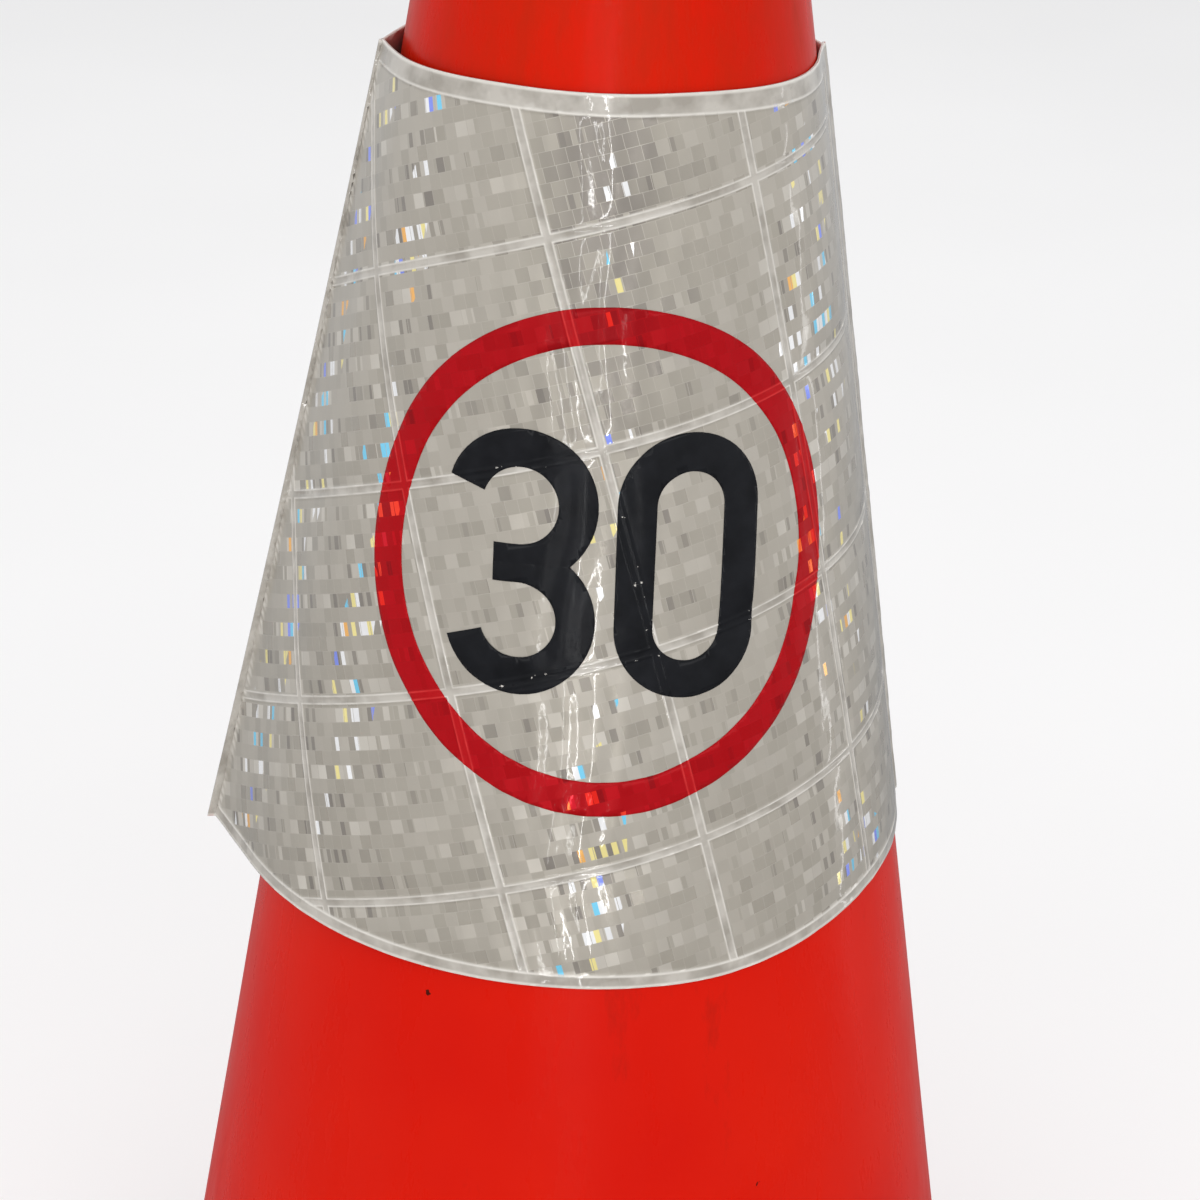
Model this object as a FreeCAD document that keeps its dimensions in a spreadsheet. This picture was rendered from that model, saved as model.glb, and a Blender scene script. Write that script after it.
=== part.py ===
import FreeCAD, Part
import math
import os
import re
import Sketcher

# A 750 mm road cone on a square rubber base, with a printed reflective sleeve that lifts off over the top.
# +Z is up, and the front, where the sleeve is printed, faces -Y.
# The origin is the middle of the base's underside.

doc = FreeCAD.newDocument("TrafficCone")
sheet = doc.addObject("Spreadsheet::Sheet", "Sizes")

# Driving sizes in millimetres and degrees: alias, value, meaning.
SIZES = [
    ("cone_height", 750, "top of the cone above the ground"),
    ("top_diameter", 58, "outside of the cone at its top"),
    ("half_angle", 9.22, "slope of the cone's side from its axis"),
    ("wall", 3, "cone wall, measured level"),
    ("rim_height", 12, "depth of the thick band round the top"),
    ("rim_lip", 2.5, "how far that band stands out"),
    ("bore_diameter", 42, "hole through the top"),
    ("bore_length", 16, "length of the hole's straight wall"),
    ("rim_round", 2, "rounding of the band's edges"),
    ("flange_reach", 14, "foot flange, outwards from the cone"),
    ("flange_thickness", 6, "foot flange"),
    ("flange_lift", 6, "underside of the foot flange above the ground"),
    ("rib_count", 6, "ribs that keep stacked cones from jamming"),
    ("rib_width", 4, "across one rib"),
    ("rib_depth", 3.5, "one rib, inwards from the wall"),
    ("rib_length", 45, "height of one rib"),
    ("rib_drop", 95, "top of the ribs below the cone's top"),
    ("base_width", 370, "side of the square base"),
    ("base_corner", 42, "rounding of the base's corners"),
    ("base_thickness", 27, "base without its pads"),
    ("base_bevel", 9, "bevel round the base's upper edge"),
    ("collar_width", 9, "raised ring on the base, round the cone"),
    ("collar_height", 7, "that ring above the base"),
    ("collar_bevel", 3, "bevel on that ring's edge"),
    ("pad_height", 4, "one foot pad"),
    ("pad_diameter", 44, "one foot pad"),
    ("pad_inset", 38, "middle of a foot pad from the base's sides"),
    ("socket_clearance", 0.5, "between the cone and the base round it"),
    ("flange_clearance", 1.5, "round the flange in the base's recess"),
    ("sleeve_drop", 176.6, "upper edge of the sleeve below the cone's top"),
    ("sleeve_length", 250, "sleeve, along the cone's slope"),
    ("sleeve_clearance", 0.4, "between the sleeve and the cone"),
    ("sleeve_slack", 0.1, "left of the front's extra bend radius, as a share of the cone's"),
    ("left_run", 0.27, "straight run from that bend to the left seam, over the cone's radius"),
    ("seam_angle", 84, "left seam, round from the front"),
    ("seam_reach", 1.018, "right seam's distance from the axis, over the cone's radius"),
    ("backing_film", 0.3, "inner ply of a panel"),
    ("prism_film", 0.5, "outer, reflective ply of a panel"),
    ("print_film", 0.2, "printed layer on the front panel"),
    ("ring_diameter", 141.6, "printed ring, outside"),
    ("ring_band", 9.9, "width of the ring's line"),
    ("print_drop", 126.8, "ring's middle below the sleeve's upper edge, along the slope"),
    ("print_shift", 2.4, "ring's middle to the right of the front line"),
    ("digit_height", 74, "both digits"),
    ("zero_width", 40.2, "the round-ended digit"),
    ("digit_stroke", 10.6, "line that the digits are drawn with"),
    ("digit_gap", 5, "between the two digits"),
    ("three_bar", 7, "middle bar of the first digit, past its bows"),
    ("three_opening", 162, "where its bows end, up and round from the right"),
]

for row, (alias, number, meaning) in enumerate(SIZES, start=1):
    sheet.set("A%d" % row, meaning)
    sheet.set("B%d" % row, str(number))
    sheet.setAlias("B%d" % row, alias)
doc.recompute()


def size(alias):
    return float(sheet.get(alias))


def cell(expression):
    """The expression with each size in it pointed at the sheet."""
    aliases = [alias for alias, _, _ in SIZES]
    return re.sub("[a-z_]+", lambda word: "Sizes." * (word[0] in aliases) + word[0], expression)


# Levels and radii that several pieces share, as expressions in the sheet's sizes.
APEX = "( cone_height + top_diameter / 2 / tan(half_angle * 1 deg) )"
FLANGE_TOP = "( flange_lift + flange_thickness )"
BASE_TOP = "( pad_height + base_thickness )"
COLLAR_TOP = "( pad_height + base_thickness + collar_height )"
SLEEVE_TOP = "( cone_height - sleeve_drop )"
SLEEVE_BOTTOM = "( cone_height - sleeve_drop - sleeve_length * cos(half_angle * 1 deg) )"


def cone_radius(level):
    """Outside radius of the cone at a level."""
    return "( " + APEX + " - " + level + " ) * tan(half_angle * 1 deg)"


def origin_part(body, role):
    return next(part for part in body.Origin.OriginFeatures if part.Role == role)


def add_sketch(body, name, role, lift=None):
    sketch = body.newObject("Sketcher::SketchObject", name)
    sketch.AttachmentSupport = (origin_part(body, role), [""])
    sketch.MapMode = "FlatFace"
    if lift:
        sketch.setExpression("AttachmentOffset.Base.z", cell(lift))
    return sketch


def bind(sketch, constraint, expression):
    """Adds a constraint whose size follows the sheet."""
    index = sketch.addConstraint(constraint)
    sketch.setExpression("Constraints[%d]" % index, cell(expression))


def draw_outline(sketch, corners):
    """A closed outline of straight sides. Two expressions place each corner; None is on the vertical axis."""
    count = len(corners)
    start = []
    for k in range(count):
        turn = 2 * math.pi * k / count
        start.append(FreeCAD.Vector(60 + 50 * math.cos(turn), 60 + 50 * math.sin(turn), 0))
    for k in range(count):
        sketch.addGeometry(Part.LineSegment(start[k], start[(k + 1) % count]), False)
    for k in range(count):
        sketch.addConstraint(Sketcher.Constraint("Coincident", k, 2, (k + 1) % count, 1))
    for k, (across, up) in enumerate(corners):
        if across is None:
            sketch.addConstraint(Sketcher.Constraint("PointOnObject", k, 1, -2))
        else:
            bind(sketch, Sketcher.Constraint("DistanceX", -1, 1, k, 1, start[k].x), across)
        bind(sketch, Sketcher.Constraint("DistanceY", -1, 1, k, 1, start[k].y), up)


def draw_circle(sketch, radius, across=None, up=None):
    sketch.addGeometry(Part.Circle(FreeCAD.Vector(5, 5, 0), FreeCAD.Vector(0, 0, 1), 10), False)
    bind(sketch, Sketcher.Constraint("Radius", 0, 10), radius)
    if across is None:
        sketch.addConstraint(Sketcher.Constraint("Coincident", 0, 3, -1, 1))
    else:
        bind(sketch, Sketcher.Constraint("DistanceX", -1, 1, 0, 3, 5), across)
        bind(sketch, Sketcher.Constraint("DistanceY", -1, 1, 0, 3, 5), up)


def revolve(body, kind, name, sketch):
    feature = body.newObject(kind, name)
    feature.Profile = sketch
    feature.ReferenceAxis = (sketch, ["V_Axis"])
    feature.Angle = 360
    return feature


def pad(body, name, sketch, length, both_ways=False, downwards=False):
    feature = body.newObject("PartDesign::Pad", name)
    feature.Profile = sketch
    feature.Midplane = both_ways
    feature.Reversed = downwards
    feature.setExpression("Length", cell(length))
    return feature


def pattern_round(body, name, feature, count):
    pattern = body.newObject("PartDesign::PolarPattern", name)
    pattern.Originals = [feature]
    pattern.Axis = (origin_part(body, "Z_Axis"), [""])
    pattern.Angle = 360
    pattern.setExpression("Occurrences", count)
    body.Tip = pattern
    return pattern


def trim_edges(body, kind, name, base, wanted, property_name, expression):
    """A fillet or chamfer on the edges of base that wanted picks."""
    doc.recompute()
    edges = ["Edge%d" % (k + 1) for k, edge in enumerate(base.Shape.Edges) if wanted(edge)]
    if not edges:
        raise RuntimeError(name + " found no edges")
    feature = body.newObject(kind, name)
    feature.Base = (base, edges)
    feature.setExpression(property_name, cell(expression))
    return feature


def value_of(expression):
    """An expression's value in millimetres or as a plain number, from the sheet as it stands."""
    found = sheet.evalExpression(cell(expression))
    return float(getattr(found, "Value", found))


def is_circle(edge, radius, level):
    if not isinstance(edge.Curve, Part.Circle):
        return False
    near = abs(edge.Curve.Radius - radius) < 1e-3
    return near and abs(edge.Curve.Center.z - level) < 1e-3


def make_cone_body():
    """The hollow PVC cone: foot flange, tapered wall, thick rim with the top bore, and ribs inside."""
    body = doc.addObject("PartDesign::Body", "cone_body")
    rim_foot = "( cone_height - rim_height )"
    bore_foot = "( cone_height - bore_length )"
    sketch = add_sketch(body, "ConeProfile", "XZ_Plane")
    rim_radius = cone_radius(rim_foot) + " + rim_lip"
    draw_outline(sketch, [
        (cone_radius("flange_lift") + " - wall", "flange_lift"),
        (cone_radius(FLANGE_TOP) + " + flange_reach", "flange_lift"),
        (cone_radius(FLANGE_TOP) + " + flange_reach", FLANGE_TOP),
        (cone_radius(FLANGE_TOP), FLANGE_TOP),
        (cone_radius(rim_foot), rim_foot),
        (rim_radius, rim_foot),
        (rim_radius, "cone_height"),
        ("bore_diameter / 2", "cone_height"),
        ("bore_diameter / 2", bore_foot),
        (cone_radius(bore_foot) + " - wall", bore_foot),
    ])
    shell = revolve(body, "PartDesign::Revolution", "ConeWall", sketch)

    def on_rim(edge):
        outside = is_circle(edge, value_of(rim_radius), size("cone_height"))
        under = is_circle(edge, value_of(rim_radius), value_of(rim_foot))
        inside = is_circle(edge, size("bore_diameter") / 2, size("cone_height"))
        return outside or under or inside

    trim_edges(body, "PartDesign::Fillet", "RimRounds", shell, on_rim, "Radius", "rim_round")

    rib_top = "( cone_height - rib_drop )"
    rib_foot = "( cone_height - rib_drop - rib_length )"
    sketch = add_sketch(body, "RibProfile", "XZ_Plane")
    draw_outline(sketch, [
        (cone_radius(rib_foot) + " - wall - rib_depth", rib_foot),
        (cone_radius(rib_foot) + " - wall / 2", rib_foot),
        (cone_radius(rib_top) + " - wall / 2", rib_top),
        (cone_radius(rib_top) + " - wall - rib_depth", rib_top),
    ])
    rib = pad(body, "Rib", sketch, "rib_width", both_ways=True)
    pattern_round(body, "Ribs", rib, cell("rib_count"))
    return body


def make_base_block():
    """The heavy rubber base: a bevelled square with a collar, a socket for the cone, and four pads."""
    body = doc.addObject("PartDesign::Body", "base_block")
    sketch = add_sketch(body, "BaseOutline", "XY_Plane", "pad_height")
    half = "base_width / 2"
    draw_outline(sketch, [("- " + half, "- " + half), (half, "- " + half), (half, half), ("- " + half, half)])
    block = pad(body, "Block", sketch, "base_thickness")

    def upright(edge):
        return abs(edge.tangentAt(edge.FirstParameter).z) > 0.99

    rounded = trim_edges(body, "PartDesign::Fillet", "CornerRounds", block, upright, "Radius", "base_corner")

    def on_top(edge):
        return edge.BoundBox.ZMin > value_of(BASE_TOP) - 1e-3

    trim_edges(body, "PartDesign::Chamfer", "UpperBevel", rounded, on_top, "Size", "base_bevel")

    collar_radius = cone_radius(COLLAR_TOP) + " + socket_clearance + collar_width"
    sketch = add_sketch(body, "CollarOutline", "XY_Plane", BASE_TOP)
    draw_circle(sketch, collar_radius)
    collar = pad(body, "Collar", sketch, "collar_height")

    def on_collar(edge):
        return is_circle(edge, value_of(collar_radius), value_of(COLLAR_TOP))

    trim_edges(body, "PartDesign::Chamfer", "CollarBevel", collar, on_collar, "Size", "collar_bevel")

    above = "( pad_height + base_thickness + collar_height * 2 )"
    recess = cone_radius(FLANGE_TOP) + " + flange_reach + flange_clearance"
    sketch = add_sketch(body, "SocketProfile", "XZ_Plane")
    draw_outline(sketch, [
        (None, "- pad_height"),
        (recess, "- pad_height"),
        (recess, FLANGE_TOP),
        (cone_radius(FLANGE_TOP) + " + socket_clearance", FLANGE_TOP),
        (cone_radius(above) + " + socket_clearance", above),
        (None, above),
    ])
    revolve(body, "PartDesign::Groove", "Socket", sketch)

    sketch = add_sketch(body, "PadOutline", "XY_Plane", "pad_height")
    corner = "base_width / 2 - pad_inset"
    draw_circle(sketch, "pad_diameter / 2", corner, corner)
    foot = pad(body, "Pad", sketch, "pad_height", downwards=True)
    pattern_round(body, "Pads", foot, "4")
    return body


def turn_to_seam(slack, run, seam):
    """Angle, round the wide bend's own middle, where the straight run starts so that it ends at the seam."""
    low, high = 0, seam
    for _ in range(60):
        turn = (low + high) / 2
        reach = (1 + slack - slack * math.cos(turn)) * math.tan(seam - turn) - slack * math.sin(turn)
        low, high = (turn, high) if reach > run else (low, turn)
    return low


def draw_sleeve_outline(sketch, radius_expression):
    """
    The sleeve's closed section round a cone of this radius. Left of the front line it bends to a wider
    radius and then runs straight to the left seam; right of it, it hugs the cone. Straight runs lead from
    both seams to the back, which hugs the cone too. The seams lie in one plane through the axis.
    """
    radius = value_of(radius_expression)
    slack = size("sleeve_slack")
    seam = math.radians(size("seam_angle"))
    turn = turn_to_seam(slack, size("left_run"), seam)
    wide = radius * (1 + slack)
    middle = FreeCAD.Vector(0, radius * slack, 0)
    along = FreeCAD.Vector(-math.sin(seam), -math.cos(seam), 0)
    left_reach = radius * (1 + slack - slack * math.cos(turn)) / math.cos(seam - turn)
    left = along * left_reach
    right = along * (-radius * size("seam_reach"))
    right_turn = math.acos(1 / size("seam_reach"))
    left_turn = math.acos(radius / left_reach)
    right_at = math.atan2(right.y, right.x)
    left_at = math.atan2(left.y, left.x) + 2 * math.pi
    bend_at = -math.pi / 2 - turn
    bend_end = middle + FreeCAD.Vector(wide * math.cos(bend_at), wide * math.sin(bend_at), 0)
    up = FreeCAD.Vector(0, 0, 1)
    axis_point = FreeCAD.Vector()

    def on_cone(angle):
        return FreeCAD.Vector(radius * math.cos(angle), radius * math.sin(angle), 0)

    sketch.addGeometry([
        Part.LineSegment(left, bend_end),
        Part.ArcOfCircle(Part.Circle(middle, up, wide), bend_at, -math.pi / 2),
        Part.ArcOfCircle(Part.Circle(axis_point, up, radius), -math.pi / 2, right_at - right_turn),
        Part.LineSegment(on_cone(right_at - right_turn), right),
        Part.LineSegment(right, on_cone(right_at + right_turn)),
        Part.ArcOfCircle(Part.Circle(axis_point, up, radius), right_at + right_turn, left_at - left_turn),
        Part.LineSegment(on_cone(left_at - left_turn), left),
    ], False)
    sketch.addGeometry(Part.LineSegment(axis_point, along * radius), True)
    left_line, bend, front_hug, front_line, back_line, back_hug, last_line, seam_line = range(8)
    rules = [
        ("Tangent", left_line, 2, bend, 1),
        ("Coincident", bend, 2, front_hug, 1),
        ("Tangent", front_hug, 2, front_line, 1),
        ("Coincident", front_line, 2, back_line, 1),
        ("Tangent", back_line, 2, back_hug, 1),
        ("Tangent", back_hug, 2, last_line, 1),
        ("Coincident", last_line, 2, left_line, 1),
        ("Coincident", front_hug, 3, -1, 1),
        ("Coincident", back_hug, 3, -1, 1),
        ("Equal", front_hug, back_hug),
        ("PointOnObject", bend, 3, -2),
        ("PointOnObject", bend, 2, -2),
        ("Coincident", seam_line, 1, -1, 1),
        ("PointOnObject", front_line, 2, seam_line),
        ("PointOnObject", left_line, 1, seam_line),
    ]
    for rule in rules:
        sketch.addConstraint(Sketcher.Constraint(*rule))
    whole = "( " + radius_expression + " ) * "
    seam_end = along * radius
    sizes = [
        (("Radius", front_hug, radius), radius_expression),
        (("DistanceY", -1, 1, bend, 3, middle.y), whole + "sleeve_slack"),
        (("DistanceX", seam_line, 2, -1, 1, -seam_end.x), whole + "sin(seam_angle * 1 deg)"),
        (("DistanceY", seam_line, 2, -1, 1, -seam_end.y), whole + "cos(seam_angle * 1 deg)"),
        (("Distance", -1, 1, front_line, 2, right.Length), whole + "seam_reach"),
        (("Distance", left_line, 1, left_line, 2, radius * size("left_run")), whole + "left_run"),
    ]
    for rule, expression in sizes:
        bind(sketch, Sketcher.Constraint(*rule), expression)


def make_plug(name, thickness):
    """The solid inside one face of the sleeve: thickness is how far out that face is from the innermost."""
    sections = []
    for place, level in (("Foot", SLEEVE_BOTTOM), ("Head", SLEEVE_TOP)):
        sketch = doc.addObject("Sketcher::SketchObject", name + place)
        sketch.setExpression("Placement.Base.z", cell(level))
        draw_sleeve_outline(sketch, cone_radius(level) + " + sleeve_clearance" + thickness)
        sections.append(sketch)
    plug = doc.addObject("Part::Loft", name)
    plug.Sections = sections
    plug.Solid = True
    plug.Ruled = True
    return plug


def make_layer(name, outer, inner):
    layer = doc.addObject("Part::Cut", name)
    layer.Base = outer
    layer.Tool = inner
    return layer


def make_front_half():
    """A block that covers everything in front of the plane through both seams and the axis."""
    block = doc.addObject("Part::Box", "FrontHalf")
    block.setExpression("Length", cell("base_width"))
    block.setExpression("Width", cell("base_width"))
    block.setExpression("Height", cell("cone_height"))
    turn = FreeCAD.Rotation(FreeCAD.Vector(0, 0, 1), 90 - size("seam_angle"))
    start = turn.multVec(FreeCAD.Vector(-size("base_width") / 2, -size("base_width"), 0))
    block.Placement = FreeCAD.Placement(start, turn)
    return block


def make_panel(name, layer, half, kind):
    panel = doc.addObject(kind, name)
    if kind == "Part::Cut":
        panel.Base = layer
        panel.Tool = half
    else:
        panel.Shapes = [layer, half]
    return panel


def flat_arc(middle, radius, start, end):
    """Points round an arc of the flat print, in degrees from the right, about one every 10 degrees."""
    steps = max(3, round(abs(end - start) / 10))
    return [
        (
            middle[0] + radius * math.cos(math.radians(start + (end - start) * k / steps)),
            middle[1] + radius * math.sin(math.radians(start + (end - start) * k / steps)),
        )
        for k in range(steps + 1)
    ]


def flat_line(start, end):
    return [
        (start[0] + (end[0] - start[0]) * k / 4, start[1] + (end[1] - start[1]) * k / 4)
        for k in range(5)
    ]


def stadium(width, height, middle):
    """The runs of a round-ended outline."""
    radius = width / 2
    rise = height / 2 - radius
    left, right = middle - radius, middle + radius
    return [
        flat_arc((middle, rise), radius, 0, 180),
        flat_line((left, rise), (left, -rise)),
        flat_arc((middle, -rise), radius, 180, 360),
        flat_line((right, -rise), (right, rise)),
    ]


def three(height, stroke, middle):
    """The runs of a digit three: two equal bows that share the middle bar, the lower mirroring the upper."""
    bow = (height - stroke) / 4
    inner = bow - stroke / 2
    outer = bow + stroke / 2
    opening = size("three_opening")
    waist = math.degrees(math.asin(bow / outer))
    centre = (middle, bow)
    bar = middle - size("three_bar")
    inner_arc = flat_arc(centre, inner, -90, opening)
    outer_arc = flat_arc(centre, outer, opening, -waist)
    upper = [
        flat_line((bar, stroke / 2), (middle, stroke / 2)),
        inner_arc,
        flat_line(inner_arc[-1], outer_arc[0]),
        outer_arc,
    ]
    lower = [[(x, -y) for x, y in reversed(run)] for run in reversed(upper)]
    return upper + lower + [flat_line((bar, -stroke / 2), (bar, stroke / 2))]


def on_front(point):
    """Where a point of the flat print, from its middle, is seen from the front once it is bent round."""
    slope = math.radians(size("half_angle"))
    apex_to_edge = (size("sleeve_drop") + size("top_diameter") / 2 / math.tan(slope)) / math.cos(slope)
    across = point[0] + size("print_shift")
    down = apex_to_edge + size("print_drop") - point[1]
    from_apex = math.hypot(across, down)
    turn = math.atan2(across, down) / math.sin(slope)
    radius = from_apex * math.sin(slope)
    if across < 0:
        wider = 1 + size("sleeve_slack")
        turn = turn / wider
        radius = radius * wider
    level = value_of(APEX) - from_apex * math.cos(slope)
    return FreeCAD.Vector(radius * math.sin(turn), 0, level)


def bent_wire(runs):
    """A closed wire through the runs of a flat outline, after bending."""
    edges = []
    for run in runs:
        curve = Part.BSplineCurve()
        closed = math.dist(run[0], run[-1]) < 1e-6
        places = [on_front(point) for point in run]
        curve.interpolate(Points=places[:-1] if closed else places, PeriodicFlag=closed)
        edges.append(curve.toShape())
    return Part.Wire(edges)


def make_print(name, outlines, layer):
    """A printed shape: its outlines, the outer one first, are cut from the printed layer as seen in front."""
    face = Part.makeFace([bent_wire(runs) for runs in outlines], "Part::FaceMakerBullseye")
    column = face.extrude(FreeCAD.Vector(0, -size("base_width"), 0))
    feature = doc.addObject("Part::Feature", name)
    feature.Shape = column.common(layer.Shape)
    return feature


cone_body = make_cone_body()
base_block = make_base_block()

plugs = [
    make_plug("Innermost", ""),
    make_plug("BackingFace", " + backing_film"),
    make_plug("PrismFace", " + backing_film + prism_film"),
    make_plug("PrintFace", " + backing_film + prism_film + print_film"),
]
backing_layer = make_layer("BackingLayer", plugs[1], plugs[0])
prism_layer = make_layer("PrismLayer", plugs[2], plugs[1])
print_layer = make_layer("PrintLayer", plugs[3], plugs[2])
front_half = make_front_half()
panels = [
    make_panel("front_backing_film", backing_layer, front_half, "Part::MultiCommon"),
    make_panel("front_prism_film", prism_layer, front_half, "Part::MultiCommon"),
    make_panel("back_backing_film", backing_layer, front_half, "Part::Cut"),
    make_panel("back_prism_film", prism_layer, front_half, "Part::Cut"),
]
doc.recompute()

stroke = size("digit_stroke")
tall = size("digit_height")
zero_middle = (size("digit_gap") + size("zero_width")) / 2
three_outer = (tall - stroke) / 4 + stroke / 2
three_middle = -size("digit_gap") / 2 - three_outer
ring_outside = size("ring_diameter") / 2
prints = [
    make_print("red_ring_print", [
        [flat_arc((0, 0), ring_outside, 0, 360)],
        [flat_arc((0, 0), ring_outside - size("ring_band"), 0, 360)],
    ], print_layer),
    make_print("tens_digit_print", [three(tall, stroke, three_middle)], print_layer),
    make_print("units_digit_print", [
        stadium(size("zero_width"), tall, zero_middle),
        stadium(size("zero_width") - 2 * stroke, tall - 2 * stroke, zero_middle),
    ], print_layer),
]
doc.recompute()

for thing in doc.Objects:
    if "Invalid" in thing.State or "Error" in thing.State:
        raise RuntimeError(thing.Name + " failed: " + str(thing.State))

os.makedirs("parts", exist_ok=True)
for node in [cone_body, base_block] + panels + prints:
    shape = node.Shape
    if shape.isNull() or not shape.isValid() or not shape.Solids:
        raise RuntimeError(node.Label + " has no valid solid")
    shape.exportStep("parts/%s.step" % node.Label)
    print("%-20s %d solid(s) %10.1f mm3" % (node.Label, len(shape.Solids), shape.Volume))
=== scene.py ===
import bisect
import math

import bmesh
import bpy
from mathutils import Matrix, Vector, noise


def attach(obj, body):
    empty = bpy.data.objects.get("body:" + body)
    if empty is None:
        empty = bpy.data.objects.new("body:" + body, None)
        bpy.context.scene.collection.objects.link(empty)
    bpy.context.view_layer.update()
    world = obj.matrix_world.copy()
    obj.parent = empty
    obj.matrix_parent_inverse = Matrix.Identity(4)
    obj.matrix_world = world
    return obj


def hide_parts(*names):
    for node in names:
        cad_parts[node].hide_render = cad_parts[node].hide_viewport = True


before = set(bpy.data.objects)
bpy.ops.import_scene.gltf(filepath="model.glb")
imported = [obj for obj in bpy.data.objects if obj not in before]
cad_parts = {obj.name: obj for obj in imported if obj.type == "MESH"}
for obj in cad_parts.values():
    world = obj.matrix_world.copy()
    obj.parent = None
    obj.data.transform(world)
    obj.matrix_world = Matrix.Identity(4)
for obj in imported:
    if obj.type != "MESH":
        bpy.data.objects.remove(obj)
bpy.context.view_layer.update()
print("frame loaded:", len(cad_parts), "nodes")

mm = 0.001
scene = bpy.context.scene
scene.view_settings.view_transform = "Standard"


def linear(hexColour):
    # sRGB hex to the linear colour that the sockets take
    channels = [int(hexColour[k:k + 2], 16) / 255 for k in (1, 3, 5)]
    return [c / 12.92 if c <= 0.04045 else ((c + 0.055) / 1.055) ** 2.4 for c in channels] + [1]


def addNode(tree, kind, inputs=None, **settings):
    # inputs are numbers, colours, sockets, or nodes, whose first output is then used
    node = tree.nodes.new("ShaderNode" + kind)
    for name, value in settings.items():
        setattr(node, name, value)
    for key, value in (inputs or {}).items():
        if isinstance(value, bpy.types.Node):
            value = value.outputs[0]
        if isinstance(value, bpy.types.NodeSocket):
            tree.links.new(value, node.inputs[key])
        else:
            node.inputs[key].default_value = value
    return node


def setRamp(node, stops, interpolation="LINEAR"):
    ramp = node.color_ramp
    ramp.interpolation = interpolation
    while len(ramp.elements) < len(stops):
        ramp.elements.new(0.5)
    for element, (place, colour) in zip(ramp.elements, stops):
        element.position = place
        element.color = linear(colour)


def startMaterial(name):
    material = bpy.data.materials.new(name)
    material.use_nodes = True
    tree = material.node_tree
    return material, tree, tree.nodes["Principled BSDF"]


def finishPiece(bm, name, material, body, nodes, sharpAbove=35):
    mesh = bpy.data.meshes.new(name)
    bm.to_mesh(mesh)
    bm.free()
    mesh.materials.append(material)
    mesh.shade_smooth()
    mesh.set_sharp_from_angle(angle=math.radians(sharpAbove))
    piece = bpy.data.objects.new(name, mesh)
    scene.collection.objects.link(piece)
    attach(piece, body)
    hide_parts(*nodes)
    print(name, "made,", len(mesh.polygons), "faces")
    return piece


def bevelSharp(bm, offset, segments, above=0.4, within=None):
    # rounds the edges that fold more than above, in radians, where within says so
    edges = [e for e in bm.edges if len(e.link_faces) == 2 and e.calc_face_angle() > above]
    if within:
        edges = [e for e in edges if within((e.verts[0].co + e.verts[1].co) / 2)]
    bmesh.ops.bevel(bm, geom=edges, offset=offset, segments=segments, profile=0.5,
                    affect="EDGES", material=-1, clamp_overlap=True)


def spinProfile(bm, profile, steps, closed):
    # a profile of (radius, height) turned about the upright axis
    corners = [bm.verts.new((radius, 0, height)) for radius, height in profile]
    pairs = zip(corners, corners[1:] + corners[:1] if closed else corners[1:])
    sides = [bm.edges.new(pair) for pair in pairs]
    bmesh.ops.spin(bm, geom=corners + sides, axis=(0, 0, 1), angle=2 * math.pi, steps=steps,
                   use_merge=True)
    bmesh.ops.remove_doubles(bm, verts=bm.verts, dist=0.002 * mm)


# the cone: sizes in metres
cone = {
    "height": 0.750, "topRadius": 0.029, "slope": math.radians(9.22), "wall": 0.003,
    "rimHeight": 0.012, "rimLip": 0.0025, "boreRadius": 0.021, "boreLength": 0.016,
    "rimRound": 0.002, "flangeRound": 0.0012, "throatRound": 0.0008,
    "flangeReach": 0.014, "flangeTop": 0.012, "flangeLift": 0.006,
    "ribs": 6, "ribWidth": 0.004, "ribDepth": 0.0035, "ribLength": 0.045, "ribDrop": 0.095,
    "ribRoot": 0.001, "waviness": 0.12 * mm, "waveLength": 0.07,
    "steps": 192, "wallCuts": 44, "longSide": 0.3,  # wall edges longer than that are cut
    "footZone": 0.02, "throatZone": 0.5,  # the flange is below the first, the throat above the second
}
coneApex = cone["height"] + cone["topRadius"] / math.tan(cone["slope"])


def coneRadius(height):
    return (coneApex - height) * math.tan(cone["slope"])


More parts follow.
